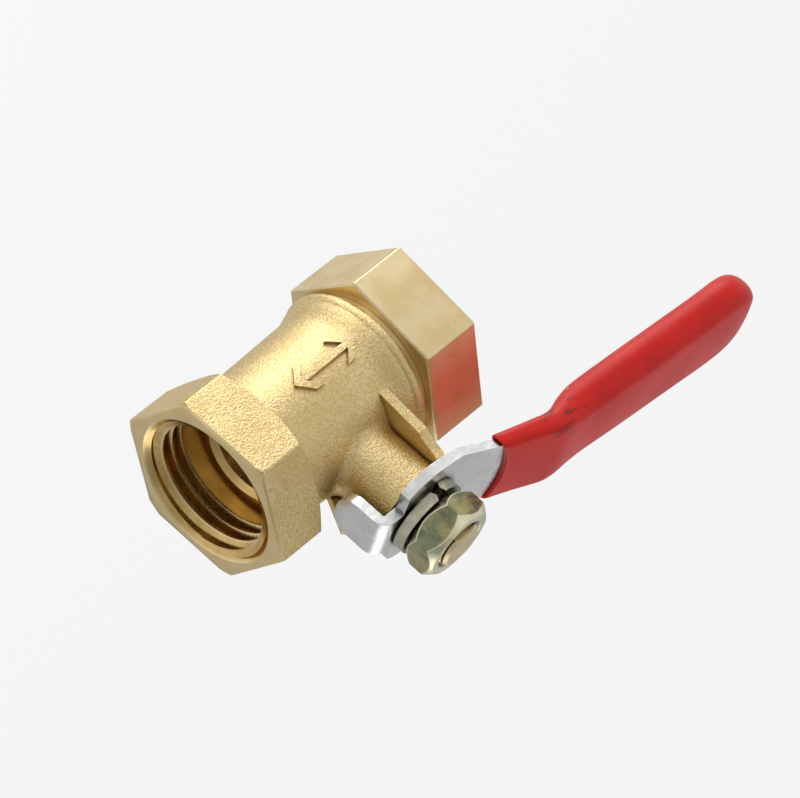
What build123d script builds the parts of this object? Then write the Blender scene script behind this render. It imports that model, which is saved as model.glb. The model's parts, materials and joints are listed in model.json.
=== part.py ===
from build123d import *
import math
import os

os.makedirs("parts", exist_ok=True)

# Small brass ball valve, two-piece, half-inch female threads at both ends.
# Millimetres. Origin at the ball centre, +Z up the stem, +X towards the end cast with the body.
# The lever is drawn open, lying over the -X half of the pipe.

# ---- overall sizes ----
BODY_END = 20.3            # ball centre to the body's threaded face
ADAPTER_END = 20.8         # ball centre to the end adapter's threaded face
HEX_FLATS = 25.0           # both wrench hexagons, across flats
LEVER_REACH = 61.0         # stem axis to the steel end of the lever

# ---- pipe threads (drawn as plain bores at the major diameter) ----
THREAD_R = 20.955 / 2      # G 1/2 major radius
MOUTH_LEAD = 0.8           # widening at the mouth, radial and axial
BODY_THREAD_L = 8.1
ADAPTER_THREAD_L = 9.0
RELIEF_L = 1.5             # run-out groove at the thread's inner end
RELIEF_DEPTH = 0.2

# ---- fits ----
RUN = 0.02                 # running clearance, radial
SLIP = 0.05                # clearance of pieces slid or screwed together
STOP_GAP = 0.30            # gap left at the lever stops
MOVE_GAP = 0.35            # gap round pieces that sweep past each other

# ---- ball and seats ----
BALL_R = 8.75
BORE_R = BALL_R * 0.6
PORT_R = BALL_R * 0.686    # hole in the shoulders on both sides of the ball
PORT_LEAD = 0.8
SEAT_OUT_R = BALL_R * 0.96
SEAT_TOUCH_R = BALL_R * 0.829      # outer radius of the seat's spherical face
SEAT_BACK = BALL_R - 0.5   # ball centre to the back of each seat ring
CHAMBER_R = BALL_R + MOVE_GAP
SEAT_FRONT = math.sqrt(BALL_R**2 - SEAT_TOUCH_R**2)
POCKET_LIP = 0.6           # seat ring standing proud of its pocket
POCKET_X = SEAT_FRONT + POCKET_LIP

# ---- body ----
BODY_HEX_L = 8.4
HEX_LEAD = 0.25            # turned chamfer beside the barrel: how far its ring clears the flats
FACE_LEAD = 1.0            # the same at the threaded face
HEX_LEAD_ANGLE = 30        # its slope, degrees
BARREL_R0 = CHAMBER_R + 1.5        # barrel beside the hexagon
BARREL_R1 = BARREL_R0 + 0.65       # barrel before the flare
LIP_R = BARREL_R0 + 1.85   # rounded lip at the open end
LIP_L = 1.9
FLARE_L = 3.6
LIP_END = SEAT_BACK + 1.95  # ball centre to the end of the lip
EDGE_SOFT = 0.45           # rounding of the cast edges
FACE_BREAK = 0.25          # broken edge of machined faces

# ---- end adapter ----
ADAPTER_HEX_L = 9.7
ADAPTER_CLOCK = -7.5       # turn of its hexagon against the body's, degrees
SPIGOT_R = CHAMBER_R + 0.8 # screwed spigot, drawn plain
COLLAR_R = SPIGOT_R + 1.5  # collar that closes on the lip
SEAL_L = 1.0
SEAL_OUT_R = SPIGOT_R + 0.85

# ---- boss, stem and stem seals ----
STEM_R = 4.0
BOSS_R = STEM_R + 1.65
BOSS_FILLET = 1.8          # hollow at the foot of the boss
STEM_COLLAR_R = STEM_R + 0.65
STEM_COLLAR_H = 1.3
WASHER_T = 0.5             # thrust washer
TANG_W = 3.6
TANG_L = STEM_COLLAR_R * 2 - 1.5
TANG_DEPTH = 2.1           # how far the tang reaches into the ball
O_RING_W = 1.6
O_RING_DEPTH = 1.15
O_RING_Z = (12.9, 16.0)
STEM_TOP_R = STEM_R - 0.5  # M7 threaded end
STEM_FLATS = STEM_TOP_R * 2 - 1.5  # across the two flats that drive the lever
STEM_END = 28.5
STEM_END_LEAD = 0.55

# ---- lever ----
PLATE_Z = 19.4             # under face of the lever head
PLATE_T = 1.6
HEAD_R = STEM_R + 4.6
NECK_START = STEM_R + 2.0  # clear of the spring washer
NECK_END = 21.5            # stem axis to the second bend
NECK_RISE = 5.0
GRIP_RISE = 7.6
NECK_W = 12.4
SLEEVE_START = 12.0
CHANNEL_START = 24.5
CHANNEL_W0 = 12.0
CHANNEL_W1 = 13.4
CHANNEL_H = 3.5
GRIP_NOSE = 6.2            # corner rounding at the end of the lever
CRANK_R = 5.0              # inside radius of the bends in the sheet
TAB_W = 7.2
TAB_X = 8.5                # stem axis to the front face of the bent tab
TAB_DROP = 6.4
TAB_SOFT = 3.0
BEND_R = 2.2
SLEEVE_T = 0.8

# ---- two stop fins on the body, one for each end of the tab's travel ----
FIN_T = 1.5
FIN_FACE = TAB_W / 2 + STOP_GAP    # stem axis to the face the tab meets
FIN_OUT = 8.7              # stem axis to the fin's outer edge at its root
FIN_MID_OUT = 7.8
FIN_TIP_OUT = 6.0
FIN_BACK_OUT = 3.5         # the same at the root of the fin behind the tab
FIN_ROOT_Z = 6.5
FIN_SHOULDER_Z = 14.8
FIN_STEP = 0.6

# ---- spring washer and nut ----
SPRING_T = 2.1
SPRING_IN_R = STEM_TOP_R + 0.2
SPRING_OUT_R = STEM_TOP_R + 2.3
SPRING_SPLIT = 0.7
NUT_FLATS = STEM_TOP_R * 2 + 4.0
NUT_H = 4.8
NUT_CLOCK = 37.0           # turn of the nut on the stem, degrees
NUT_LEAD = 0.3             # how far the chamfer reaches in on the flats
NUT_SLOPE = 1.1            # rise of the chamfer for its width
NUT_SINK = 0.6             # countersink of the bore

# ---- arrow raised on the barrel ----
ARROW_L = 11.6
ARROW_W = 4.6
ARROW_BAR = 1.0
ARROW_HEAD = 2.1
ARROW_SPREAD = 1.3         # width of the heads' strokes along the arrow
ARROW_RAISE = 0.5

# ---- levels that follow from the sizes above ----
BODY_HEX_X = BODY_END - BODY_HEX_L
BODY_FLOOR_X = BODY_END - BODY_THREAD_L
ADAPTER_HEX_X = ADAPTER_END - ADAPTER_HEX_L
ADAPTER_FLOOR_X = ADAPTER_END - ADAPTER_THREAD_L
TANG_Z = BALL_R - TANG_DEPTH
BOSS_TOP = PLATE_Z - MOVE_GAP
COLLAR_Z = CHAMBER_R - 0.1
WASHER_Z = COLLAR_Z + STEM_COLLAR_H
SHOULDER_Z = WASHER_Z + WASHER_T
SPRING_Z = PLATE_Z + PLATE_T
NUT_Z = SPRING_Z + SPRING_T
TAB_Z = PLATE_Z - TAB_DROP


def barrel_profile(grow=0.0):
    """Half outline of the barrel in the XZ plane, standing out by grow."""
    flare_x = -(LIP_END - LIP_L - FLARE_L)
    lip_x = -(LIP_END - LIP_L)
    start = (BODY_HEX_X + 0.5, BARREL_R0 + grow)
    bend = (flare_x, BARREL_R1 + grow)
    slope = ((flare_x - start[0]), (BARREL_R1 - BARREL_R0))
    Line(start, bend)
    Spline(bend, (lip_x, LIP_R + grow - 0.25), tangents=[slope, (-1, 0.15)])
    ThreePointArc(
        (lip_x, LIP_R + grow - 0.25),
        (lip_x - LIP_L * 0.62, LIP_R + grow),
        (-LIP_END, LIP_R + grow - 0.9),
    )
    Polyline((-LIP_END, LIP_R + grow - 0.9), (-LIP_END, 0), (start[0], 0), start)


def mouth_cut(face_x, floor_x, side):
    """Threaded mouth with lead, plain bore, run-out groove and port, cut inwards from a face."""
    wide = THREAD_R + MOUTH_LEAD
    relief_x = floor_x + side * RELIEF_L
    Polyline(
        (face_x, 0),
        (face_x, wide),
        (face_x - side * MOUTH_LEAD, THREAD_R),
        (relief_x, THREAD_R),
        (relief_x, THREAD_R + RELIEF_DEPTH),
        (floor_x, THREAD_R + RELIEF_DEPTH),
        (floor_x, PORT_R + PORT_LEAD),
        (floor_x - side * PORT_LEAD, PORT_R),
        (0, PORT_R),
        (0, 0),
        close=True,
    )


def fin_outline(side, root_out):
    """Stop fin seen from its working face, standing out to one side of the stem."""
    Polyline(
        (0, FIN_ROOT_Z),
        (side * root_out, FIN_ROOT_Z),
        (side * FIN_MID_OUT, FIN_SHOULDER_Z),
        (side * (FIN_MID_OUT - FIN_STEP), FIN_SHOULDER_Z + FIN_STEP),
        (side * FIN_TIP_OUT, BOSS_TOP - FIN_STEP),
        (side * (FIN_TIP_OUT - FIN_STEP), BOSS_TOP),
        (0, BOSS_TOP),
        close=True,
    )


# ---- flow arrow, a pad that is later raised on the barrel ----
with BuildPart() as arrow_pad:
    with BuildSketch(Plane.XZ.offset(BALL_R)):
        Rectangle(ARROW_L - 2 * ARROW_BAR, ARROW_BAR)
        for side in (1, -1):
            with BuildLine():
                Polyline(
                    (side * ARROW_L / 2, 0),
                    (side * (ARROW_L / 2 - ARROW_HEAD), ARROW_W / 2),
                    (side * (ARROW_L / 2 - ARROW_HEAD - ARROW_SPREAD), ARROW_W / 2),
                    (side * (ARROW_L / 2 - ARROW_SPREAD), 0),
                    (side * (ARROW_L / 2 - ARROW_HEAD - ARROW_SPREAD), -ARROW_W / 2),
                    (side * (ARROW_L / 2 - ARROW_HEAD), -ARROW_W / 2),
                    close=True,
                )
            make_face()
    extrude(amount=LIP_R)
    with BuildSketch(Plane.XZ):
        with BuildLine():
            barrel_profile(ARROW_RAISE)
        make_face()
    revolve(axis=Axis.X, mode=Mode.INTERSECT)

# ---- body: barrel, hexagon, stem boss and stop fin in one casting ----
with BuildPart() as body:
    with BuildSketch(Plane.XZ):
        with BuildLine():
            barrel_profile()
        make_face()
    revolve(axis=Axis.X)
    # stem boss, with a hollow fillet into the barrel
    with BuildSketch(Plane.XY):
        Circle(BOSS_R)
    extrude(amount=BOSS_TOP)
    root = body.edges().filter_by(lambda e: CHAMBER_R / 2 < e.center().Z < BOSS_TOP - BOSS_FILLET)
    root = root.filter_by(lambda e: math.hypot((e @ 0.1).X, (e @ 0.1).Y) < BOSS_R + SLIP)
    fillet(root, BOSS_FILLET)
    # wrench hexagon
    with BuildSketch(Plane.YZ.offset(BODY_HEX_X)):
        RegularPolygon(HEX_FLATS / 2, 6, major_radius=False, rotation=30)
    extrude(amount=BODY_HEX_L)
    hex_edges = body.edges().filter_by(Axis.X).filter_by(lambda e: e.center().X > BODY_HEX_X)
    fillet(hex_edges, EDGE_SOFT)
    rim = body.faces().filter_by(Axis.X).sort_by(Axis.X)[-1].outer_wire().edges()
    chamfer(rim, FACE_BREAK)
    # turned chamfer across the hexagon's corners, at both of its ends
    lead_rise = HEX_FLATS / 2
    lead_run = lead_rise * math.tan(math.radians(HEX_LEAD_ANGLE))
    with BuildSketch(Plane.XZ):
        for end_x, side, clear in ((BODY_END, 1, FACE_LEAD), (BODY_HEX_X, -1, HEX_LEAD)):
            lead_r = HEX_FLATS / 2 + clear
            with BuildLine():
                Polyline(
                    (end_x, lead_r),
                    (end_x, lead_r + lead_rise),
                    (end_x - side * lead_run, lead_r + lead_rise),
                    close=True,
                )
            make_face()
    revolve(axis=Axis.X, mode=Mode.SUBTRACT)
    # stop fins: the closed one behind the boss, the open one turned a quarter from it
    for fin_plane, side, root_out in (
        (Plane.YZ.offset(-FIN_FACE), -1, FIN_OUT),
        (Plane.XZ.offset(-FIN_FACE), 1, FIN_BACK_OUT),
    ):
        with BuildSketch(fin_plane):
            with BuildLine():
                fin_outline(side, root_out)
            make_face()
        extrude(amount=-FIN_T)
    add(arrow_pad.part)
    # waterway, ball chamber and the bore for the end adapter
    with BuildSketch(Plane.XZ):
        with BuildLine():
            mouth_cut(BODY_END, BODY_FLOOR_X, 1)
        make_face()
        with BuildLine():
            Polyline(
                (SEAT_BACK, 0),
                (SEAT_BACK, SEAT_OUT_R + SLIP),
                (POCKET_X, SEAT_OUT_R + SLIP),
                (POCKET_X, CHAMBER_R),
                (-POCKET_X, CHAMBER_R),
                (-POCKET_X, SPIGOT_R + SLIP),
                (-LIP_END + SEAL_L, SPIGOT_R + SLIP),
                (-LIP_END + SEAL_L, SEAL_OUT_R + RUN),
                (-LIP_END, SEAL_OUT_R + RUN),
                (-LIP_END, 0),
                close=True,
            )
        make_face()
    revolve(axis=Axis.X, mode=Mode.SUBTRACT)
    # stem bore, wider below for the stem's collar
    with BuildSketch(Plane.XY):
        Circle(STEM_R + SLIP)
    extrude(amount=BOSS_TOP, mode=Mode.SUBTRACT)
    with BuildSketch(Plane.XY):
        Circle(STEM_COLLAR_R + SLIP)
    extrude(amount=SHOULDER_Z, mode=Mode.SUBTRACT)
body.part.label = "body"
export_step(body.part, "parts/body.step")

# ---- end adapter: hexagon with a spigot that screws into the body ----
with BuildPart() as end_adapter:
    with BuildSketch(Plane.YZ.offset(-ADAPTER_HEX_X)):
        RegularPolygon(HEX_FLATS / 2, 6, major_radius=False, rotation=30 + ADAPTER_CLOCK)
    extrude(amount=-ADAPTER_HEX_L)
    fillet(end_adapter.edges().filter_by(Axis.X), FACE_BREAK)
    chamfer(end_adapter.faces().filter_by(Axis.X).edges(), FACE_BREAK)
    with BuildSketch(Plane.XZ):
        with BuildLine():
            Polyline(
                (-ADAPTER_HEX_X, 0),
                (-ADAPTER_HEX_X, COLLAR_R),
                (-LIP_END, COLLAR_R),
                (-LIP_END, SPIGOT_R),
                (-POCKET_X - FACE_BREAK, SPIGOT_R),
                (-POCKET_X, SPIGOT_R - FACE_BREAK),
                (-POCKET_X, 0),
                close=True,
            )
        make_face()
    revolve(axis=Axis.X)
    with BuildSketch(Plane.XZ):
        with BuildLine():
            mouth_cut(-ADAPTER_END, -ADAPTER_FLOOR_X, -1)
        make_face()
        with BuildLine():
            Polyline(
                (-SEAT_BACK, 0),
                (-SEAT_BACK, SEAT_OUT_R + SLIP),
                (0, SEAT_OUT_R + SLIP),
                (0, 0),
                close=True,
            )
        make_face()
    revolve(axis=Axis.X, mode=Mode.SUBTRACT)
end_adapter.part.label = "end_adapter"
export_step(end_adapter.part, "parts/end_adapter.step")

# ---- seal between body and adapter ----
with BuildPart() as joint_seal:
    with BuildSketch(Plane.YZ.offset(-LIP_END)):
        Circle(SEAL_OUT_R)
        Circle(SPIGOT_R + RUN, mode=Mode.SUBTRACT)
    extrude(amount=SEAL_L)
joint_seal.part.label = "body_joint_seal"
export_step(joint_seal.part, "parts/body_joint_seal.step")

# ---- two seat rings, each hollowed to the ball ----
for seat_name, side in (("seat_ring_body_side", 1), ("seat_ring_adapter_side", -1)):
    hollow_r = BALL_R + RUN
    inner_x = math.sqrt(hollow_r**2 - PORT_R**2)
    touch_r = math.sqrt(hollow_r**2 - SEAT_FRONT**2)
    with BuildPart() as seat_ring:
        with BuildSketch(Plane.XZ):
            with BuildLine():
                Polyline(
                    (side * inner_x, PORT_R),
                    (side * SEAT_BACK, PORT_R),
                    (side * SEAT_BACK, SEAT_OUT_R),
                    (side * SEAT_FRONT, SEAT_OUT_R),
                    (side * SEAT_FRONT, touch_r),
                )
                ThreePointArc(
                    (side * SEAT_FRONT, touch_r),
                    (side * hollow_r * math.cos(math.pi / 4), hollow_r * math.sin(math.pi / 4)),
                    (side * inner_x, PORT_R),
                )
            make_face()
        revolve(axis=Axis.X)
    seat_ring.part.label = seat_name
    export_step(seat_ring.part, f"parts/{seat_name}.step")

# ---- ball with its bore and the slot for the stem ----
with BuildPart() as ball:
    Sphere(BALL_R)
    with BuildSketch(Plane.YZ):
        Circle(BORE_R)
    extrude(amount=BALL_R, both=True, mode=Mode.SUBTRACT)
    with BuildSketch(Plane.XY.offset(TANG_Z - SLIP)):
        Rectangle(TANG_W + 2 * SLIP, 2 * BALL_R)
    extrude(amount=BALL_R, mode=Mode.SUBTRACT)
ball.part.label = "ball"
export_step(ball.part, "parts/ball.step")

# ---- stem: tang, collar, two grooves, threaded end with two flats ----
with BuildPart() as stem:
    with BuildSketch(Plane.XY.offset(TANG_Z)):
        Rectangle(TANG_W, TANG_L)
        Circle(STEM_COLLAR_R, mode=Mode.INTERSECT)
    extrude(amount=COLLAR_Z - TANG_Z)
    with BuildSketch(Plane.XZ):
        with BuildLine():
            Polyline(
                (0, COLLAR_Z),
                (STEM_COLLAR_R, COLLAR_Z),
                (STEM_COLLAR_R, WASHER_Z),
                (STEM_R, WASHER_Z),
                (STEM_R, PLATE_Z - FACE_BREAK),
                (STEM_R - FACE_BREAK, PLATE_Z),
                (STEM_TOP_R, PLATE_Z),
                (STEM_TOP_R, STEM_END - STEM_END_LEAD),
                (STEM_TOP_R - STEM_END_LEAD, STEM_END),
                (0, STEM_END),
                close=True,
            )
        make_face()
        for ring_z in O_RING_Z:
            with Locations((STEM_R, ring_z)):
                Rectangle(2 * O_RING_DEPTH, O_RING_W + 2 * SLIP, mode=Mode.SUBTRACT)
    revolve(axis=Axis.Z)
    with BuildSketch(Plane.XY.offset(PLATE_Z)):
        Circle(STEM_R)
        Rectangle(2 * STEM_R, STEM_FLATS, mode=Mode.SUBTRACT)
    extrude(amount=STEM_END - PLATE_Z, mode=Mode.SUBTRACT)
stem.part.label = "stem"
export_step(stem.part, "parts/stem.step")

# ---- thrust washer above the collar ----
with BuildPart() as thrust_washer:
    with BuildSketch(Plane.XY.offset(WASHER_Z)):
        Circle(STEM_COLLAR_R)
        Circle(STEM_R + RUN, mode=Mode.SUBTRACT)
    extrude(amount=WASHER_T)
thrust_washer.part.label = "stem_thrust_washer"
export_step(thrust_washer.part, "parts/stem_thrust_washer.step")

# ---- O-rings, drawn squeezed between groove and bore ----
for ring_name, ring_z in zip(("stem_o_ring_lower", "stem_o_ring_upper"), O_RING_Z):
    with BuildPart() as o_ring:
        with BuildSketch(Plane.XZ):
            with Locations((STEM_R - O_RING_DEPTH / 2 + RUN, ring_z)):
                RectangleRounded(O_RING_DEPTH, O_RING_W, O_RING_DEPTH * 0.42)
        revolve(axis=Axis.Z)
    o_ring.part.label = ring_name
    export_step(o_ring.part, f"parts/{ring_name}.step")


def lever_side(out, reach):
    """Side outline of neck and grip, standing out by out on every side."""
    low = PLATE_Z - out
    high = PLATE_Z + PLATE_T + out
    foot = PLATE_Z + PLATE_T - out - CHANNEL_H
    Polyline(
        (0, low),
        (-NECK_START, low),
        (-NECK_END, low + NECK_RISE),
        (-CHANNEL_START + out, low + NECK_RISE),
        (-CHANNEL_START - CHANNEL_H / 2 + out, foot + NECK_RISE),
        (-reach, foot + GRIP_RISE),
        (-reach, high + GRIP_RISE),
        (-NECK_END, high + NECK_RISE),
        (-NECK_START, high),
        (0, high),
        close=True,
    )


def lever_plan(out, reach):
    """Plan outline of neck and grip, widened by out on each side."""
    # the neck's edge leaves the round head along a tangent
    turn = math.atan2(NECK_W / 2, -SLEEVE_START)
    turn -= math.acos(HEAD_R / math.hypot(SLEEVE_START, NECK_W / 2))
    upper = (
        (0, HEAD_R * math.sin(turn) + out),
        (HEAD_R * math.cos(turn), HEAD_R * math.sin(turn) + out),
        (-SLEEVE_START, NECK_W / 2 + out),
        (-NECK_END, NECK_W / 2 + out),
        (-CHANNEL_START, CHANNEL_W0 / 2 + out),
        (-reach, CHANNEL_W1 / 2 + out),
    )
    lower = [(x, -y) for x, y in reversed(upper)]
    Polyline(*upper, *lower, close=True)


# ---- neck and grip of the lever, once bare and once as the outside of its sleeve ----
grips = {}
for grip_name, out in (("bare", 0.0), ("sleeved", SLEEVE_T)):
    reach = LEVER_REACH + out
    with BuildPart() as grip:
        with BuildSketch(Plane.XZ) as side_view:
            with BuildLine():
                lever_side(out, reach)
            make_face()
            bends = side_view.vertices().filter_by(lambda v: -NECK_END - 1 < v.X < -1)
            fillet(bends.filter_by(lambda v: v.X < -NECK_START - 1), CRANK_R)
        extrude(amount=HEAD_R, both=True)
        with BuildSketch(Plane.XY) as outline:
            with BuildLine():
                lever_plan(out, reach)
            make_face()
            fillet(outline.vertices().group_by(Axis.X)[0], GRIP_NOSE + out)
        extrude(amount=STEM_END + GRIP_RISE, mode=Mode.INTERSECT)
    grips[grip_name] = grip.part

# ---- lever: pressed steel with round head, stop tab, cranked neck and channel grip ----
with BuildPart() as lever:
    add(grips["bare"])
    # hollow of the channel
    with BuildSketch(Plane.XZ):
        with BuildLine():
            Polyline(
                (-CHANNEL_START - CHANNEL_H, PLATE_Z),
                (-CHANNEL_START - CHANNEL_H, PLATE_Z + NECK_RISE),
                (-LEVER_REACH + PLATE_T, PLATE_Z + GRIP_RISE),
                (-LEVER_REACH + PLATE_T, PLATE_Z),
                close=True,
            )
        make_face()
    extrude(amount=CHANNEL_W0 / 2 - PLATE_T, both=True, mode=Mode.SUBTRACT)
    # round head
    with BuildSketch(Plane.XY.offset(PLATE_Z)):
        Circle(HEAD_R)
        with Locations((TAB_X, 0)):
            Rectangle(2 * (PLATE_T + BEND_R), 2 * HEAD_R, mode=Mode.SUBTRACT)
        with Locations((TAB_X / 2, 0)):
            Rectangle(TAB_X, TAB_W)
    extrude(amount=PLATE_T)
    # stop tab, bent down at the front of the head
    with BuildSketch(Plane.YZ.offset(TAB_X - PLATE_T)) as tab_face:
        with Locations((0, (PLATE_Z + PLATE_T + TAB_Z) / 2)):
            Rectangle(TAB_W, TAB_DROP + PLATE_T)
        fillet(tab_face.vertices().group_by(Axis.Y)[0], TAB_SOFT)
    extrude(amount=PLATE_T)
    bend = lever.edges().filter_by(Axis.Y).group_by(Axis.X)[-1].sort_by(Axis.Z)[-1]
    fillet(bend, BEND_R)
    # hole with two flats for the stem
    with BuildSketch(Plane.XY.offset(PLATE_Z)):
        Circle(STEM_TOP_R + SLIP)
        Rectangle(2 * STEM_R, STEM_FLATS + 2 * SLIP, mode=Mode.INTERSECT)
    extrude(amount=PLATE_T, mode=Mode.SUBTRACT)
lever.part.label = "lever"
export_step(lever.part, "parts/lever.step")

# ---- sleeve: soft cover pushed over neck and grip ----
with BuildPart() as lever_sleeve:
    add(grips["sleeved"])
    with BuildSketch(Plane.YZ.offset(-SLEEVE_START)):
        with Locations((0, PLATE_Z)):
            Rectangle(4 * HEAD_R, 4 * HEAD_R)
    extrude(amount=SLEEVE_START, mode=Mode.SUBTRACT)
    add(grips["bare"], mode=Mode.SUBTRACT)
lever_sleeve.part.label = "lever_sleeve"
export_step(lever_sleeve.part, "parts/lever_sleeve.step")

# ---- spring washer, split ----
with BuildPart() as spring_washer:
    with BuildSketch(Plane.XY.offset(SPRING_Z)):
        Circle(SPRING_OUT_R)
        Circle(SPRING_IN_R, mode=Mode.SUBTRACT)
        with Locations(Rotation(0, 0, -118)):
            with Locations((SPRING_OUT_R / 2, 0)):
                Rectangle(SPRING_OUT_R * 1.1, SPRING_SPLIT, mode=Mode.SUBTRACT)
    extrude(amount=SPRING_T)
spring_washer.part.label = "spring_washer"
export_step(spring_washer.part, "parts/spring_washer.step")

# ---- nut on the stem, chamfered on both faces ----
with BuildPart() as lever_nut:
    with BuildSketch(Plane.XY.offset(NUT_Z)):
        RegularPolygon(NUT_FLATS / 2, 6, major_radius=False, rotation=NUT_CLOCK)
        Circle(STEM_TOP_R + RUN, mode=Mode.SUBTRACT)
    extrude(amount=NUT_H)
    chamfer(lever_nut.edges().filter_by(GeomType.CIRCLE), NUT_SINK)
    corner_r = NUT_FLATS / math.sqrt(3)
    lead = corner_r - NUT_FLATS / 2 + NUT_LEAD
    with BuildSketch(Plane.XZ):
        with BuildLine():
            Polyline(
                (0, NUT_Z),
                (corner_r - lead, NUT_Z),
                (corner_r, NUT_Z + lead * NUT_SLOPE),
                (corner_r, NUT_Z + NUT_H - lead * NUT_SLOPE),
                (corner_r - lead, NUT_Z + NUT_H),
                (0, NUT_Z + NUT_H),
                close=True,
            )
        make_face()
    revolve(axis=Axis.Z, mode=Mode.INTERSECT)
lever_nut.part.label = "lever_nut"
export_step(lever_nut.part, "parts/lever_nut.step")
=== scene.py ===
import bmesh
import bpy
import json
import math
from mathutils import Matrix, Vector


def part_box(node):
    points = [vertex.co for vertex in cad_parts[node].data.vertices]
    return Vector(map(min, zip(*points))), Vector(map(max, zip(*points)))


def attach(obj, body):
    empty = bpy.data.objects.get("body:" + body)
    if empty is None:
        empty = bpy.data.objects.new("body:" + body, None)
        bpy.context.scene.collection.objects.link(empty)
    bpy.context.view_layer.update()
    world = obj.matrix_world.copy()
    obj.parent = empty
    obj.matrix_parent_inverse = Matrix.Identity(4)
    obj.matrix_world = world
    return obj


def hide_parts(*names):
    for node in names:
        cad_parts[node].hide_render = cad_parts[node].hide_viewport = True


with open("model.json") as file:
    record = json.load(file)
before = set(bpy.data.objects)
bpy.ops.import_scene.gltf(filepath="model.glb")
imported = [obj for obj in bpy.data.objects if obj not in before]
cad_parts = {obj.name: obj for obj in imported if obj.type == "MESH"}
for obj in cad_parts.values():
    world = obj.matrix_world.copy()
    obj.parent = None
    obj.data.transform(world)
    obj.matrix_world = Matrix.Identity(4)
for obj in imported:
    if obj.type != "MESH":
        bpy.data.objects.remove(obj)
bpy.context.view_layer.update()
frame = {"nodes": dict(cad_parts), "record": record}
MM = 0.001

# ---- places read from the frame, with the nut's sizes given ----
mounts = {m["name"]: m for m in frame["record"]["mounts"]}
THREAD_R = mounts["body_thread"]["dims"]["r_mm"] * MM
BODY_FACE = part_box("body")[1].x
ADAPTER_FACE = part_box("end_adapter")[0].x
PLATE_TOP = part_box("spring_washer")[0].z
NUT_LOW, NUT_HIGH = (corner.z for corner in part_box("lever_nut"))
NUT_FLATS = 11.0 * MM          # across flats
NUT_LEAD = 0.3 * MM            # how far its chamfers reach in on the flats
NUT_SLOPE = 1.1                # their rise for their width
SLEEVE_END = -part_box("lever_sleeve")[0].x / MM
STEM_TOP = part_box("stem")[1].z

# ---- sizes of the finer details, metres ----
PITCH = 1.814 * MM             # pipe thread
THREAD_DEPTH = 1.16 * MM
BODY_MOUTH = 8.1 * MM          # face to the mouth's floor
ADAPTER_MOUTH = 9.0 * MM
THREAD_START = 0.55 * MM       # face to the first ridge
RUN_OUT = 0.7 * MM             # plain groove at the inner end of the thread
MACHINED_SKIN = 0.3 * MM       # how far the turned face reaches round the rim
THREAD_REACH = (10.9 * MM, 11.2 * MM)      # radii where the thread's finish gives way
MOUTH_REACH = (11.9 * MM, 12.1 * MM)       # the same for the mouth as a whole
WATERWAY_REACH = (10.0 * MM, 10.1 * MM)    # the same for the bores behind it
STEM_PITCH = 1.0 * MM
STEM_THREAD_ROOT = (3.25 * MM, 3.35 * MM)
STEM_TIP = (0.5 * MM, 0.4 * MM)            # plain end above the stem's thread
SMUDGE_AT = (-22.5 * MM, -6.5 * MM)        # dirt at the sleeve's bend
SMUDGE_REACH = 4.5 * MM


# =====================================================================
# Shader writing
# =====================================================================
class Sum:
    """A socket of a finish that takes part in ordinary arithmetic."""

    def __init__(self, finish, socket):
        self.finish, self.socket = finish, socket

    def calc(self, operation, *terms):
        return self.finish.node("ShaderNodeMath", {"operation": operation}, dict(enumerate(terms)))

    def __add__(self, other):
        return self.calc("ADD", self, other)

    __radd__ = __add__

    def __sub__(self, other):
        return self.calc("SUBTRACT", self, other)

    def __rsub__(self, other):
        return self.calc("SUBTRACT", other, self)

    def __mul__(self, other):
        return self.calc("MULTIPLY", self, other)

    __rmul__ = __mul__

    def __pow__(self, other):
        return self.calc("POWER", self, other)

    def either(self, other):
        return self.calc("MAXIMUM", self, other)

    def above(self, low, high):
        """0 below low, 1 above high, eased between them."""
        return self.finish.node(
            "ShaderNodeMapRange",
            {"interpolation_type": "SMOOTHSTEP"},
            {"Value": self, "From Min": low, "From Max": high},
        )


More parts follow.
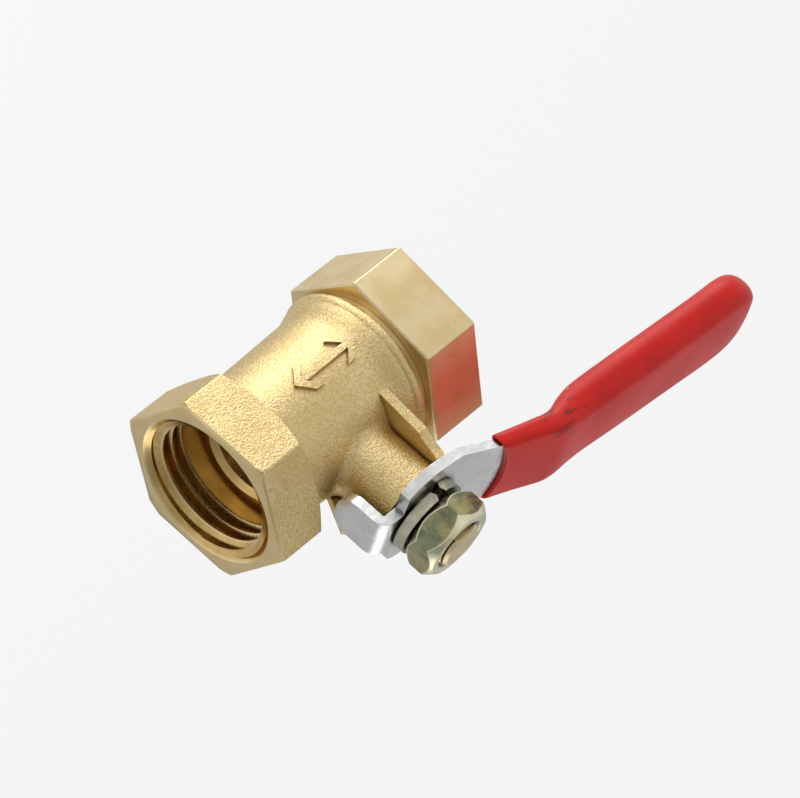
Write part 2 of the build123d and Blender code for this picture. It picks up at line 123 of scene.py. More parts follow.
class Finish:
    """A material of one kind of surface, with its nodes written as expressions."""

    def __init__(self, name, **constants):
        self.material = bpy.data.materials.new(name)
        self.material.use_nodes = True
        self.tree = self.material.node_tree
        self.tree.nodes.clear()
        self.surface = self.tree.nodes.new("ShaderNodeBsdfPrincipled")
        out = self.tree.nodes.new("ShaderNodeOutputMaterial")
        self.tree.links.new(self.surface.outputs[0], out.inputs["Surface"])
        for socket, value in constants.items():
            self.surface.inputs[socket.replace("_", " ")].default_value = value
        self.place = self.node("ShaderNodeTexCoord", outlet="Object")

    def node(self, kind, settings=None, inputs=None, outlet=0):
        node = self.tree.nodes.new(kind)
        for name, value in (settings or {}).items():
            setattr(node, name, value)
        for name, value in (inputs or {}).items():
            self.feed(node.inputs[name], value)
        return Sum(self, node.outputs[outlet])

    def feed(self, socket, value):
        if isinstance(value, Sum):
            self.tree.links.new(value.socket, socket)
        elif isinstance(value, tuple) and socket.type == "RGBA":
            socket.default_value = (*value, 1)
        else:
            socket.default_value = value

    def shade(self, **links):
        for socket, value in links.items():
            self.feed(self.surface.inputs[socket.replace("_", " ")], value)
        return self.material

    def noise(self, size, detail=3.0, rough=0.55, stretch=None, warp=0.0):
        """Cloudy pattern whose lumps are size metres across."""
        place = self.place
        if stretch:
            place = self.node("ShaderNodeMapping", None, {"Vector": place, "Scale": stretch})
        return self.node(
            "ShaderNodeTexNoise",
            None,
            {"Vector": place, "Scale": 1 / size, "Detail": detail, "Roughness": rough, "Distortion": warp},
        )

    def mix(self, mask, a, b):
        return self.node("ShaderNodeMix", {"data_type": "RGBA"}, {0: mask, 6: a, 7: b}, 2)

    def blend(self, mask, a, b):
        return self.node("ShaderNodeMix", {"data_type": "FLOAT"}, {0: mask, 2: a, 3: b}, 0)

    def mix_relief(self, mask, a, b):
        return self.node("ShaderNodeMix", {"data_type": "VECTOR"}, {0: mask, 4: a, 5: b}, 1)

    def bump(self, height, depth, under=None):
        inputs = {"Height": height, "Distance": depth, "Strength": 1.0}
        if under:
            inputs["Normal"] = under
        return self.node("ShaderNodeBump", None, inputs)

    def axes(self):
        split = self.node("ShaderNodeSeparateXYZ", None, {"Vector": self.place}).socket.node
        return [Sum(self, outlet) for outlet in split.outputs]


# =====================================================================
# Finishes
# =====================================================================
BRASS_PALE = (0.86, 0.69, 0.37)
BRASS_DEEP = (0.70, 0.50, 0.20)
BRASS_GOLD = (0.74, 0.52, 0.21)
BRASS_DULL = (0.40, 0.28, 0.12)


def corner_dirt_and_shade(finish, reach):
    """Painted shade with dirt: 1 in inside corners and where pieces meet, where polish and dirt stay and
    shade falls, 0 on open faces.
    """
    # ambient occlusion of this and nearby pieces: what it darkens is painted shade as well as dirt
    open_air = finish.node("ShaderNodeAmbientOcclusion", {"samples": 8}, {"Distance": reach}, "AO")
    return 1 - open_air.above(0.45, 0.95)


def sand_blasted(finish):
    """Colour, roughness and relief of the blasted casting."""
    lumps = finish.noise(0.36 * MM, 2.0, 0.5)
    grit = finish.noise(0.18 * MM, 2.0, 0.6)
    clouds = finish.noise(6 * MM, 3.0)
    colour = finish.mix(clouds.above(0.35, 0.7), BRASS_PALE, (0.76, 0.59, 0.29))
    colour = finish.mix((1 - lumps).above(0.44, 0.6) * 0.75, colour, BRASS_DEEP)
    colour = finish.mix((1 - grit).above(0.52, 0.68) * 0.4, colour, BRASS_DULL)
    # painted shade with dirt: the casting turns dull brass in its inside corners
    colour = finish.mix(corner_dirt_and_shade(finish, 0.6 * MM) * 0.85, colour, BRASS_DULL)
    rough = 0.36 + 0.16 * grit
    relief = finish.bump(lumps, 0.09 * MM)
    return colour, rough, finish.bump(grit, 0.03 * MM, relief)


def turned(finish, radial, along, gold):
    """Colour, roughness and relief left by the lathe."""
    marks = finish.node(
        "ShaderNodeTexNoise",
        {"noise_dimensions": "2D"},
        {
            "Vector": finish.node("ShaderNodeCombineXYZ", None, {0: along, 1: radial}),
            "Scale": 1 / (0.16 * MM),
            "Detail": 2.0,
        },
    )
    clouds = finish.noise(3 * MM, 3.0)
    colour = finish.mix(clouds.above(0.3, 0.75), gold[0], gold[1])
    rough = 0.13 + 0.14 * clouds
    return colour, rough, finish.bump(marks, 0.006 * MM)


def body_brass():
    finish = Finish("cast_brass", Metallic=1.0)
    x, y, z = finish.axes()
    r = (y * y + z * z) ** 0.5
    face = x.above(BODY_FACE - MACHINED_SKIN, BODY_FACE - MACHINED_SKIN * 0.7)
    floor_x = BODY_FACE - BODY_MOUTH
    mouth = x.above(floor_x - 0.3 * MM, floor_x - 0.2 * MM) * (1 - r.above(*MOUTH_REACH))
    inside = 1 - r.above(*WATERWAY_REACH)
    bore = 1 - r.above(*THREAD_REACH)
    cut = face.either(mouth).either(inside)
    cast_colour, cast_rough, cast_relief = sand_blasted(finish)
    face_look = turned(finish, r, 0.0, (BRASS_PALE, (0.80, 0.62, 0.30)))
    bore_look = turned(finish, 0.0, x, (BRASS_GOLD, (0.62, 0.42, 0.16)))
    in_bore = (bore * mouth).either(inside)
    cut_colour = finish.mix(in_bore, face_look[0], bore_look[0])
    cut_rough = finish.blend(in_bore, face_look[1] + 0.12, bore_look[1])
    cut_relief = finish.mix_relief(in_bore, face_look[2], bore_look[2])
    return finish.shade(
        Base_Color=finish.mix(cut, cast_colour, cut_colour),
        Roughness=finish.blend(cut, cast_rough, cut_rough),
        Normal=finish.mix_relief(cut, cast_relief, cut_relief),
    )


def adapter_brass():
    finish = Finish("turned_brass", Metallic=1.0)
    x, y, z = finish.axes()
    r = (y * y + z * z) ** 0.5
    bore = 1 - r.above(*THREAD_REACH)
    streaks = finish.noise(0.5 * MM, 3.0, 0.6, stretch=(0.12, 1.0, 1.0))
    pits = finish.noise(0.35 * MM, 2.0)
    clouds = finish.noise(5 * MM, 4.0)
    colour = finish.mix(clouds.above(0.35, 0.7), (0.88, 0.72, 0.42), (0.78, 0.61, 0.31))
    colour = finish.mix(pits.above(0.68, 0.76) * 0.5, colour, BRASS_DULL)
    # painted shade with dirt: the adapter turns half dull brass in its inside corners
    colour = finish.mix(corner_dirt_and_shade(finish, 0.5 * MM) * 0.5, colour, BRASS_DULL)
    colour = finish.mix(bore, colour, BRASS_GOLD)
    rough = finish.blend(bore, 0.3 + 0.14 * streaks + 0.08 * clouds, 0.16)
    relief = finish.bump(clouds, 0.12 * MM)
    return finish.shade(
        Base_Color=colour, Roughness=rough, Normal=finish.bump(streaks, 0.006 * MM, relief)
    )


def thread_brass():
    finish = Finish("thread_brass", Metallic=1.0)
    x, y, z = finish.axes()
    r = (y * y + z * z) ** 0.5
    clouds = finish.noise(2.2 * MM, 3.0)
    chatter = finish.noise(0.25 * MM, 2.0)
    # painted highlight: the thread's crests are painted pale brass, its roots stay darker gold
    crest = 1 - r.above(THREAD_R - THREAD_DEPTH * 0.95, THREAD_R - THREAD_DEPTH * 0.6)
    colour = finish.mix(clouds.above(0.35, 0.7), BRASS_GOLD, (0.60, 0.40, 0.14))
    colour = finish.mix(crest * 0.7, colour, BRASS_PALE)
    return finish.shade(
        Base_Color=colour, Roughness=0.12 + 0.16 * clouds, Normal=finish.bump(chatter, 0.008 * MM)
    )


def stem_brass():
    finish = Finish("stem_brass", Metallic=1.0)
    x, y, z = finish.axes()
    turn = finish.node("ShaderNodeMath", {"operation": "ARCTAN2"}, {0: y, 1: x})
    wave = finish.node("ShaderNodeMath", {"operation": "SINE"}, {0: z * (2 * math.pi / STEM_PITCH) - turn})
    r = (x * x + y * y) ** 0.5
    threaded = z.above(PLATE_TOP, PLATE_TOP + 0.1 * MM) * r.above(*STEM_THREAD_ROOT)
    threaded = threaded * (1 - z.above(STEM_TOP - STEM_TIP[0], STEM_TOP - STEM_TIP[1]))
    saw_marks = finish.noise(0.3 * MM, 2.0, stretch=(1.0, 0.1, 1.0))
    clouds = finish.noise(2 * MM, 3.0)
    colour = finish.mix(clouds.above(0.35, 0.7), (0.82, 0.68, 0.44), (0.70, 0.55, 0.33))
    relief = finish.bump(wave * threaded, 0.25 * MM)
    return finish.shade(
        Base_Color=colour, Roughness=0.28 + 0.2 * saw_marks, Normal=finish.bump(saw_marks, 0.02 * MM, relief)
    )


def nut_highlit_faces(finish):
    """Painted highlight: 1 on the nut's end faces and chamfers, 0 on its six flats."""
    x, y, z = finish.axes()
    r = (x * x + y * y) ** 0.5
    half = (NUT_HIGH - NUT_LOW) / 2
    height = z - (NUT_LOW + half)
    height = height.calc("ABSOLUTE", height)  # from the nut's middle, either way
    past_cone = (r - (NUT_FLATS / 2 - NUT_LEAD)) * NUT_SLOPE + height - half
    chamfered = past_cone.above(-0.3 * MM, -0.1 * MM)
    end_face = height.above(half - 0.12 * MM, half - 0.04 * MM)
    return chamfered.either(end_face)


def plated_steel(name, bright, dull, tint, rough, dents, highlit_faces=None):
    """Zinc plate over pressed or forged steel, plain or yellow-passivated."""
    finish = Finish(name, Metallic=1.0)
    clouds = finish.noise(2.6 * MM, 4.0, 0.6, warp=0.6)
    film = finish.noise(4.5 * MM, 2.0)
    spangle = finish.noise(0.3 * MM, 2.0)
    colour = finish.mix(clouds.above(0.38, 0.68), bright, dull)
    colour = finish.mix(film.above(0.5, 0.72) * 0.55, colour, tint)
    # painted highlight: the nut's chamfers and end faces are painted pale
    if highlit_faces:
        pale_highlight = finish.mix(film.above(0.4, 0.6), (0.84, 0.80, 0.56), (0.66, 0.66, 0.46))
        colour = finish.mix(highlit_faces(finish), colour, pale_highlight)
    # painted shade with dirt: near black in inside corners and where pieces meet
    colour = finish.mix(corner_dirt_and_shade(finish, 1.1 * MM) * 0.8, colour, (0.07, 0.065, 0.05))
    return finish.shade(
        Base_Color=colour,
        Roughness=rough + 0.12 * clouds,
        Normal=finish.bump(spangle, 0.012 * MM, finish.bump(film, dents)),
    )


def dipped_vinyl():
    finish = Finish("red_vinyl", IOR=1.45, Specular_IOR_Level=0.32)
    clouds = finish.noise(7 * MM, 3.0)
    skin = finish.noise(0.5 * MM, 2.0)
    sag = finish.noise(9 * MM, 1.0)
    specks = finish.noise(0.45 * MM, 1.0).above(0.74, 0.78)
    x, y, z = finish.axes()
    smudge = finish.noise(1.1 * MM, 4.0, 0.7, stretch=(0.4, 1.0, 1.0)).above(0.5, 0.62)
    from_smudge = (x - SMUDGE_AT[0]) ** 2 + (y - SMUDGE_AT[1]) ** 2
    smudge = smudge * (1 - from_smudge.above(0, SMUDGE_REACH**2))
    colour = finish.mix(clouds.above(0.3, 0.7), (0.74, 0.016, 0.008), (0.64, 0.011, 0.006))
    colour = finish.mix(specks * 0.5, colour, (0.25, 0.004, 0.004))
    colour = finish.mix(smudge * 0.7, colour, (0.09, 0.02, 0.012))
    return finish.shade(
        Base_Color=colour,
        Roughness=0.29 + 0.12 * clouds,
        Normal=finish.bump(skin, 0.012 * MM, finish.bump(sag, 0.1 * MM)),
    )


def ball_plate():
    finish = Finish("plated_ball", Metallic=1.0)
    hairlines = finish.noise(0.3 * MM, 2.0, stretch=(1.0, 1.0, 0.08))
    clouds = finish.noise(3 * MM, 3.0)
    colour = finish.mix(clouds.above(0.4, 0.7), (0.72, 0.70, 0.66), (0.60, 0.57, 0.50))
    return finish.shade(
        Base_Color=colour, Roughness=0.08 + 0.1 * clouds, Normal=finish.bump(hairlines, 0.003 * MM)
    )


def white_seal():
    finish = Finish("seal_white", IOR=1.38)
    clouds = finish.noise(1.5 * MM, 3.0)
    skiving = finish.noise(0.2 * MM, 2.0)
    colour = finish.mix(clouds.above(0.3, 0.7), (0.80, 0.79, 0.75), (0.70, 0.68, 0.62))
    return finish.shade(
        Base_Color=colour, Roughness=0.45 + 0.15 * clouds, Normal=finish.bump(skiving, 0.01 * MM)
    )


def black_rubber():
    finish = Finish("black_rubber", IOR=1.52)
    clouds = finish.noise(1.2 * MM, 3.0)
    grain = finish.noise(0.12 * MM, 2.0)
    colour = finish.mix(clouds.above(0.3, 0.7), (0.018, 0.018, 0.019), (0.035, 0.034, 0.032))
    return finish.shade(
        Base_Color=colour, Roughness=0.5 + 0.2 * grain, Normal=finish.bump(grain, 0.01 * MM)
    )


finishes = {
    "cast_brass": body_brass(),
    "turned_brass": adapter_brass(),
    "stem_brass": stem_brass(),
    "plated_ball": ball_plate(),
    "seal_white": white_seal(),
    "black_rubber": black_rubber(),
    "zinc_steel": plated_steel(
        "zinc_steel", (0.80, 0.81, 0.80), (0.70, 0.72, 0.71), (0.76, 0.76, 0.72), 0.24, 0.2 * MM
    ),
    "red_vinyl": dipped_vinyl(),
    "washer_steel": plated_steel(
        "washer_steel", (0.62, 0.60, 0.46), (0.42, 0.41, 0.30), (0.50, 0.50, 0.36), 0.2, 0.1 * MM
    ),
    "yellow_zinc_nut": plated_steel(
        "yellow_zinc_nut", (0.46, 0.42, 0.19), (0.17, 0.19, 0.12), (0.30, 0.34, 0.21), 0.2, 0.15 * MM,
        nut_highlit_faces,
    ),
}
threads_finish = thread_brass()


# =====================================================================
# Shapes
# =====================================================================
def dress(obj, body, slot, material=None):
    """Finish for one piece, picked by its slot, and, for a new piece, the body it rides with."""
    obj.data.materials.clear()
    obj.data.materials.append(material or finishes[slot])
    if obj.name not in frame["nodes"]:
        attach(obj, body)
    return obj


def new_piece(name, mesh):
    obj = bpy.data.objects.new(name, mesh)
    bpy.context.scene.collection.objects.link(obj)
    return obj


def solid_copy(node, name):
    """A copy of a CAD node with its loose triangles joined into one skin."""
    mesh = frame["nodes"][node].data.copy()
    mesh.name = name
    if "custom_normal" in mesh.attributes:
        mesh.attributes.remove(mesh.attributes["custom_normal"])
    skin = bmesh.new()
    skin.from_mesh(mesh)
    bmesh.ops.remove_doubles(skin, verts=skin.verts, dist=0.002 * MM)
    skin.to_mesh(mesh)
    skin.free()
    return mesh


def baked(obj):
    """obj with its modifiers turned into plain mesh."""
    graph = bpy.context.evaluated_depsgraph_get()
    mesh = bpy.data.meshes.new_from_object(obj.evaluated_get(graph))
    obj.modifiers.clear()
    obj.data = mesh
    return obj


def eased(node, name, soft, angle=30, segments=3):
    """A copy of a CAD node with its corners rounded to soft metres."""
    mesh = solid_copy(node, name)
    skin = bmesh.new()
    skin.from_mesh(mesh)
    bmesh.ops.dissolve_limit(
        skin, angle_limit=math.radians(0.5), verts=skin.verts, edges=skin.edges, delimit=set()
    )
    for face in skin.faces:
        face.smooth = True
    skin.to_mesh(mesh)
    skin.free()
    obj = new_piece(name, mesh)
    bevel = obj.modifiers.new("eased corners", "BEVEL")
    bevel.width, bevel.segments = soft, segments
    bevel.limit_method, bevel.angle_limit = "ANGLE", math.radians(angle)
    bevel.harden_normals = True
    bevel.use_clamp_overlap = True
    baked(obj)
    return obj


def coil_tree():
    """Node tree of a ridge or bar wound round the X axis, which fades out at both ends."""
    tree = bpy.data.node_groups.new("wound_section", "GeometryNodeTree")
    face = tree.interface
    for name, kind, value in (
        ("Turns", "NodeSocketFloat", 3.0),
        ("Rise", "NodeSocketFloat", 0.01),
        ("Radius", "NodeSocketFloat", 0.01),
        ("Steps", "NodeSocketInt", 64),
        ("Depth", "NodeSocketFloat", 0.001),
        ("Foot", "NodeSocketFloat", 0.001),
        ("Crest", "NodeSocketFloat", 0.0003),
        ("Fade", "NodeSocketFloat", 0.1),
        ("Offset", "NodeSocketVector", (0, 0, 0)),
        ("Turn", "NodeSocketVector", (0, 0, 0)),
        ("Finish", "NodeSocketMaterial", None),
    ):
        socket = face.new_socket(name, in_out="INPUT", socket_type=kind)
        if value is not None:
            socket.default_value = value
    face.new_socket("Geometry", in_out="OUTPUT", socket_type="NodeSocketGeometry")

    def node(kind, settings=None, inputs=None):
        made = tree.nodes.new(kind)
        for key, value in (settings or {}).items():
            setattr(made, key, value)
        for key, value in (inputs or {}).items():
            if isinstance(value, bpy.types.NodeSocket):
                tree.links.new(value, made.inputs[key])
            else:
                made.inputs[key].default_value = value
        return made

    given = node("NodeGroupInput").outputs

    def math_node(operation, a, b=0.0):
        return node("ShaderNodeMath", {"operation": operation}, {0: a, 1: b}).outputs[0]

    helix = node(
        "GeometryNodeCurveSpiral",
        None,
        {
            "Resolution": given["Steps"],
            "Rotations": given["Turns"],
            "Start Radius": given["Radius"],
            "End Radius": given["Radius"],
            "Height": given["Rise"],
        },
    ).outputs[0]
    upright = node("GeometryNodeSetCurveNormal", {"mode": "Z_UP"}, {"Curve": helix}).outputs[0]
    along = node("GeometryNodeSplineParameter").outputs["Factor"]
    near_end = math_node("MINIMUM", along, math_node("SUBTRACT", 1.0, along))
    fade = math_node("MINIMUM", math_node("DIVIDE", near_end, given["Fade"]), 1.0)
    fade = math_node("MAXIMUM", fade, 0.02)

    half_foot = math_node("MULTIPLY", given["Foot"], 0.5)
    half_crest = math_node("MULTIPLY", given["Crest"], 0.5)

    def corner(out, across):
        return node("ShaderNodeCombineXYZ", None, {0: out, 1: across}).outputs[0]

    section = node(
        "GeometryNodeCurvePrimitiveQuadrilateral",
        {"mode": "POINTS"},
        {
            "Point 1": corner(0.0, half_foot),
            "Point 2": corner(given["Depth"], half_crest),
            "Point 3": corner(given["Depth"], math_node("MULTIPLY", half_crest, -1.0)),
            "Point 4": corner(0.0, math_node("MULTIPLY", half_foot, -1.0)),
        },
    ).outputs[0]
    swept = node(
        "GeometryNodeCurveToMesh",
        None,
        {"Curve": upright, "Profile Curve": section, "Scale": fade, "Fill Caps": True},
    ).outputs[0]
    placed = node(
        "GeometryNodeTransform",
        None,
        {"Geometry": swept, "Translation": given["Offset"], "Rotation": given["Turn"]},
    ).outputs[0]
    real = node("GeometryNodeRealizeInstances", None, {"Geometry": placed}).outputs[0]
    paint = {"Geometry": real, "Material": given["Finish"]}
    painted = node("GeometryNodeSetMaterial", None, paint).outputs[0]
    node("NodeGroupOutput", None, {"Geometry": painted})
    return tree


wound_section = coil_tree()


def wound(name, **sizes):
    """One wound piece, as plain mesh."""
    obj = new_piece(name, bpy.data.meshes.new(name))
    winding = obj.modifiers.new("winding", "NODES")
    winding.node_group = wound_section
    for item in wound_section.interface.items_tree:
        if item.in_out == "INPUT" and item.name in sizes:
            winding[item.identifier] = sizes[item.name]
    baked(obj)
    skin = bmesh.new()
    skin.from_mesh(obj.data)
    bmesh.ops.remove_doubles(skin, verts=skin.verts, dist=0.001 * MM)
    bmesh.ops.recalc_face_normals(skin, faces=skin.faces)
    skin.to_mesh(obj.data)
    skin.free()
    return obj


# ---- body and end adapter: castings with eased corners ----
body = eased("body", "valve_body_casting", 0.16 * MM)
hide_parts("body")
dress(body, "valve_body", "cast_brass")
adapter = eased("end_adapter", "screwed_end_adapter", 0.14 * MM)
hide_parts("end_adapter")
dress(adapter, "valve_body", "turned_brass")

# ---- pipe threads inside both mouths ----
for name, face, way, mouth in (
    ("body_pipe_thread", BODY_FACE, 1, BODY_MOUTH),
    ("adapter_pipe_thread", ADAPTER_FACE, -1, ADAPTER_MOUTH),
):
    run = mouth - RUN_OUT - THREAD_START
    inner = face - way * (mouth - RUN_OUT)
    ridge = wound(
        name,
        Turns=run / PITCH,
        Rise=run,
        Radius=THREAD_R + 0.03 * MM,
        Steps=72,
        Depth=THREAD_DEPTH,
        Foot=PITCH * 0.92,
        Crest=PITCH * 0.2,
        Fade=0.06,
        Offset=(inner if way > 0 else face + THREAD_START, 0, 0),
        Turn=(0, math.pi / 2, 0),
        Finish=threads_finish,
    )
    for polygon in ridge.data.polygons:
        polygon.use_smooth = False
    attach(ridge, "valve_body")

# ---- lever, nut, stem ----
lever = eased("lever", "lever_pressed_steel", 0.28 * MM, segments=4)
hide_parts("lever")
dress(lever, "lever_set", "zinc_steel")
nut = eased("lever_nut", "lever_hex_nut", 0.18 * MM, angle=20)
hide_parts("lever_nut")
dress(nut, "lever_set", "yellow_zinc_nut")
stem = eased("stem", "stem_with_flats", 0.12 * MM)
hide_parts("stem")
dress(stem, "lever_set", "stem_brass")


# ---- dipped sleeve: a soft oval tube drawn over neck and grip ----
# along the lever: distance from the stem, height of the middle, half height, half width
SLEEVE_FORM = (
    (12.0, 22.13, 1.30, 6.80),
    (15.5, 23.26, 1.40, 6.90),
    (18.5, 24.27, 1.55, 7.05),
    (20.8, 24.98, 1.72, 7.05),
    (22.6, 25.04, 1.95, 6.85),
    (24.6, 24.76, 2.25, 6.78),
    (27.5, 24.60, 2.50, 6.90),
    (34.0, 25.00, 2.60, 7.10),
    (46.0, 25.80, 2.60, 7.30),
    (53.0, 26.25, 2.60, 7.45),
    (SLEEVE_END, 26.45, 2.60, 7.50),
)
SLEEVE_NOSE = 7.4              # length of the rounded end
MOUTH_DIP = 1.3                # how far the mouth's edge runs back at the middle
MOUTH_FADE = 7.0
LIP = 0.28                     # rounding of the mouth
STEEL_HALF = (0.83, 6.24)      # half height and width of the steel in the mouth
TUCK = 3.5                     # how far the inside of the mouth is modelled


def along_form(form, far):
    """The form's values at one distance, through its rows as a smooth line."""
    rows = [form[0], *form, form[-1]]
    for before, here, there, after in zip(rows, rows[1:], rows[2:], rows[3:]):
        if here[0] <= far <= there[0] and here is not there:
            t = (far - here[0]) / (there[0] - here[0])
            values = []
            for k in range(1, len(here)):
                slope_a = (there[k] - before[k]) / max(there[0] - before[0], 1e-6) * (there[0] - here[0])
                slope_b = (after[k] - here[k]) / max(after[0] - here[0], 1e-6) * (there[0] - here[0])
                values.append(
                    (2 * t**3 - 3 * t**2 + 1) * here[k]
                    + (t**3 - 2 * t**2 + t) * slope_a
                    + (3 * t**2 - 2 * t**3) * there[k]
                    + (t**3 - t**2) * slope_b
                )
            return values
    return list(form[-1][1:])


def oval(half_high, half_wide, soft, arc=9, flat=10):
    """Points of a flat oval with corners of radius soft, counter-clockwise."""
    points = []
    for corner in range(4):
        side_y, side_z = ((1, 1), (-1, 1), (-1, -1), (1, -1))[corner]
        for step in range(arc):
            turn = math.pi / 2 * (corner + step / (arc - 1))
            points.append(
                (
                    side_y * (half_wide - soft) + soft * math.cos(turn),
                    side_z * (half_high - soft) + soft * math.sin(turn),
                )
            )
        if corner in (0, 2):
            start = points[-1]
            for step in range(1, flat):
                points.append((start[0] - side_y * 2 * (half_wide - soft) * step / flat, start[1]))
    return points


def sleeve_ring(far, shrink=0.0, steel=False, setback=0.0):
    """One ring of the sleeve at a distance from the stem."""
    middle, high, wide = along_form(SLEEVE_FORM, far)
    end = SLEEVE_FORM[-1][0]
    if far > end - SLEEVE_NOSE:
        t = min((far - end + SLEEVE_NOSE) / SLEEVE_NOSE, 1.0)
        wide *= max(1 - t**2.5, 0) ** 0.5
        high *= max(1 - t**4.5, 0) ** 0.5
    if steel:
        high, wide, soft = *STEEL_HALF, 0.2
    else:
        high, wide = high - shrink, wide - shrink
        soft = min(high, wide) * (0.72 + 0.2 * min(max((far - 20) / 8, 0), 1))
    fade = max(1 - (far + setback - SLEEVE_FORM[0][0]) / MOUTH_FADE, 0)
    ring = []
    for y, z in oval(high, max(wide, soft), soft):
        dip = MOUTH_DIP * (1 - min(abs(y) / 7.0, 1) ** 2) * fade
        crown = 0.0 if steel else 0.4 * (1 - (y / max(wide, 0.1)) ** 2) * (1 if z > 0 else -1)
        x = far + setback + dip
        rise = along_form(SLEEVE_FORM, x)[0] - along_form(SLEEVE_FORM, far)[0] if fade else 0.0
        ring.append(Vector((-x, y, middle + rise + z + crown)) * MM)
    return ring


def sleeve_piece():
    start, end = SLEEVE_FORM[0][0], SLEEVE_FORM[-1][0]
    rings = [sleeve_ring(start + TUCK, steel=True)]
    rings.append(sleeve_ring(start + 0.02, steel=True))
    for step in range(5):
        turn = math.pi / 2 * step / 4
        rings.append(
            sleeve_ring(start, shrink=LIP * (1 - math.sin(turn)), setback=LIP * (1 - math.cos(turn)))
        )
    far = start + LIP
    while far < end - SLEEVE_NOSE:
        far += 0.55
        rings.append(sleeve_ring(far))
    nose_start = far
    for step in range(1, 22):
        t = math.sin(math.pi / 2 * step / 22)
        rings.append(sleeve_ring(nose_start + (end - nose_start) * t))
    skin = bmesh.new()
    loops = [[skin.verts.new(p) for p in ring] for ring in rings]
    count = len(loops[0])
    for first, second in zip(loops, loops[1:]):
        for k in range(count):
            skin.faces.new((first[k], first[(k + 1) % count], second[(k + 1) % count], second[k]))
    for loop in (loops[0], loops[-1]):
        pole = skin.verts.new(sum((v.co for v in loop), Vector()) / count)
        if loop is loops[-1]:
            pole.co.x = -end * MM
        for k in range(count):
            skin.faces.new((loop[k], loop[(k + 1) % count], pole))
    bmesh.ops.remove_doubles(skin, verts=skin.verts, dist=0.002 * MM)
    bmesh.ops.recalc_face_normals(skin, faces=skin.faces)
    for face in skin.faces:
        face.smooth = True
    mesh = bpy.data.meshes.new("lever_red_sleeve")
    skin.to_mesh(mesh)
    skin.free()
    return new_piece("lever_red_sleeve", mesh)


sleeve = sleeve_piece()
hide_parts("lever_sleeve")
dress(sleeve, "lever_set", "red_vinyl")

# ---- spring washer, wound with its ends apart ----
washer_low, washer_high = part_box("spring_washer")
thick = (washer_high.z - washer_low.z) * 0.78
washer_r = washer_high.x
washer = wound(
    "split_spring_washer",
    Turns=0.965,
    Rise=(washer_high.z - washer_low.z) - thick,
    Radius=washer_r,
    Steps=96,
    Depth=washer_r - 3.7 * MM,
    Foot=thick,
    Crest=thick * 0.92,
    Fade=0.0001,
    Offset=(0, 0, washer_low.z + thick / 2),
    Turn=(0, 0, math.radians(-100)),
    Finish=finishes["washer_steel"],
)
rounding = washer.modifiers.new("eased corners", "BEVEL")
rounding.width, rounding.segments, rounding.limit_method = 0.18 * MM, 3, "ANGLE"
rounding.harden_normals = True
for polygon in washer.data.polygons:
    polygon.use_smooth = True
baked(washer)
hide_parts("spring_washer")
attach(washer, "lever_set")

# ---- pieces kept as the CAD gives them ----
for node, slot in (
    ("ball", "plated_ball"),
    ("seat_ring_body_side", "seal_white"),
    ("seat_ring_adapter_side", "seal_white"),
    ("body_joint_seal", "seal_white"),
    ("stem_thrust_washer", "seal_white"),
    ("stem_o_ring_lower", "black_rubber"),
    ("stem_o_ring_upper", "black_rubber"),
):
    dress(frame["nodes"][node], None, slot)

# =====================================================================
# Floor, light and camera
# =====================================================================
FLOOR_Z = -0.25
bpy.ops.mesh.primitive_plane_add(size=14, location=(0, 0, FLOOR_Z))
floor = bpy.context.object
floor.name = "studio_floor"
paper = Finish("studio_floor", Roughness=0.9)
floor.data.materials.append(paper.shade(Base_Color=(0.5, 0.5, 0.5)))
paper.surface.inputs["Emission Color"].default_value = (1, 1, 1, 1)
paper.surface.inputs["Emission Strength"].default_value = 0.63
floor.visible_diffuse = floor.visible_glossy = False

centre = Vector((-0.0089, -0.0033, 0.0080))     # what the lamps are turned to
tent_top = Vector((-0.13, -0.92, -0.37)).normalized()
tent_back = Vector((-0.744, 0.338, -0.578)).normalized()
tent_left = tent_top.cross(tent_back).normalized()
tent_front = -tent_back


def soft_light(name, towards, distance, size, watts, tint=(1, 1, 1)):
    lamp = bpy.data.lights.new(name, "AREA")
    lamp.shape, lamp.size, lamp.energy, lamp.color = "SQUARE", size, watts, tint
    obj = bpy.data.objects.new(name, lamp)
    bpy.context.scene.collection.objects.link(obj)
    obj.location = centre + towards.normalized() * distance
    obj.rotation_euler = (-towards).to_track_quat("-Z", "Y").to_euler()
    obj.visible_camera = False
    return obj


soft_light("rear_softbox", tent_top * 0.75 + tent_back * 0.66, 0.45, 0.34, 0.95)
soft_light("overhead_softbox", tent_top * 0.93 + tent_left * 0.36, 0.40, 0.20, 0.28)
soft_light("back_fill", Vector((0.2, 0.8, 0.6)), 0.6, 0.4, 0.5)

world = bpy.data.worlds.new("studio_tent")
bpy.context.scene.world = world
world.use_nodes = True
sky = world.node_tree
sky.nodes.clear()


def sky_node(kind, settings=None, inputs=None):
    made = sky.nodes.new(kind)
    for key, value in (settings or {}).items():
        setattr(made, key, value)
    for key, value in (inputs or {}).items():
        if isinstance(value, bpy.types.NodeSocket):
            sky.links.new(value, made.inputs[key])
        else:
            made.inputs[key].default_value = value
    return made.outputs


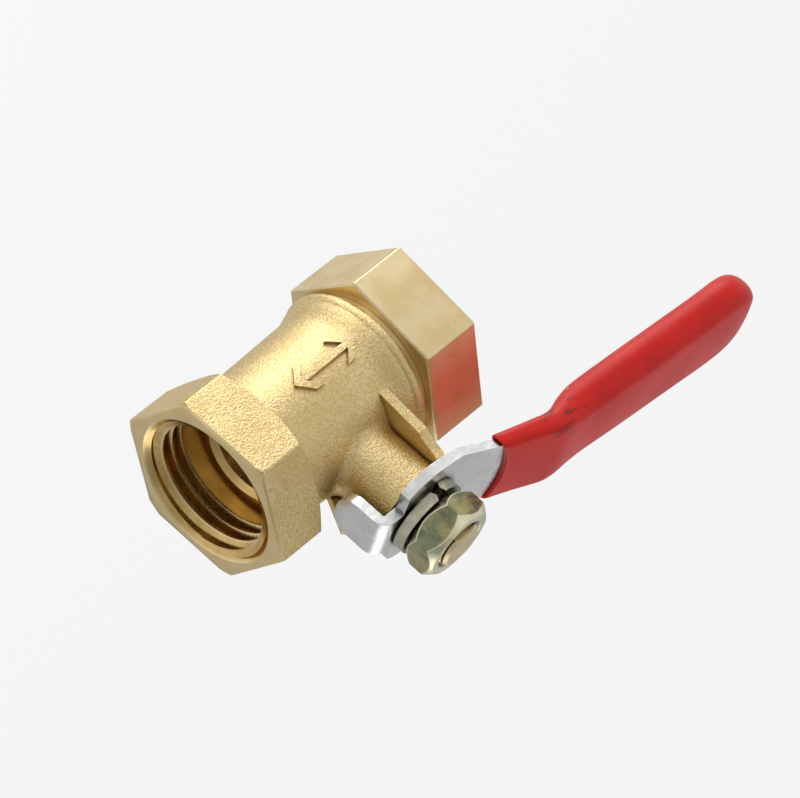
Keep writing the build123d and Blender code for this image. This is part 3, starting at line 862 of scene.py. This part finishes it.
look = sky_node("ShaderNodeTexCoord")["Generated"]


def sky_towards(direction):
    return sky_node("ShaderNodeVectorMath", {"operation": "DOT_PRODUCT"}, {0: look, 1: direction})["Value"]


towards_top = sky_towards(tent_top)
towards_front = sky_towards(tent_front)


def sky_ease(value, low, high, start, end):
    return sky_node(
        "ShaderNodeMapRange",
        {"interpolation_type": "SMOOTHSTEP"},
        {0: value, 1: low, 2: high, 3: start, 4: end},
    )[0]


def sky_times(a, b):
    return sky_node("ShaderNodeMath", {"operation": "MULTIPLY"}, {0: a, 1: b})[0]


table_side = sky_ease(towards_top, -0.6, 0.1, 0.5, 0.8)
ceiling = sky_ease(towards_top, 0.55, 0.95, 1.0, 0.8)
opening = sky_ease(towards_front, 0.3, 0.95, 1.0, 0.55)
strength = sky_times(sky_times(table_side, ceiling), opening)
tent = sky_node("ShaderNodeBackground", None, {"Color": (1.0, 1.0, 1.0, 1), "Strength": strength})[0]
sky_node("ShaderNodeOutputWorld", None, {"Surface": tent})

bpy.context.scene.view_settings.view_transform = "Standard"

lens = bpy.data.cameras.new("studio_camera")
lens.lens, lens.sensor_width = 225, 36
camera = bpy.data.objects.new("studio_camera", lens)
bpy.context.scene.collection.objects.link(camera)
bpy.context.scene.camera = camera
CAMERA_AZIMUTH, CAMERA_RISE, CAMERA_ROLL = (math.radians(a) for a in (33.635, 15.163, -131.405))
CAMERA_AIM = Vector((-8.912, -3.330, 7.984)) * MM
CAMERA_DISTANCE = 0.6700
back = Vector(
    (
        math.sin(CAMERA_AZIMUTH) * math.cos(CAMERA_RISE),
        -math.cos(CAMERA_AZIMUTH) * math.cos(CAMERA_RISE),
        math.sin(CAMERA_RISE),
    )
)
camera.matrix_world = (
    Matrix.Translation(CAMERA_AIM + back * CAMERA_DISTANCE)
    @ Matrix.Rotation(CAMERA_AZIMUTH, 4, "Z")
    @ Matrix.Rotation(math.pi / 2 - CAMERA_RISE, 4, "X")
    @ Matrix.Rotation(-CAMERA_ROLL, 4, "Z")
)
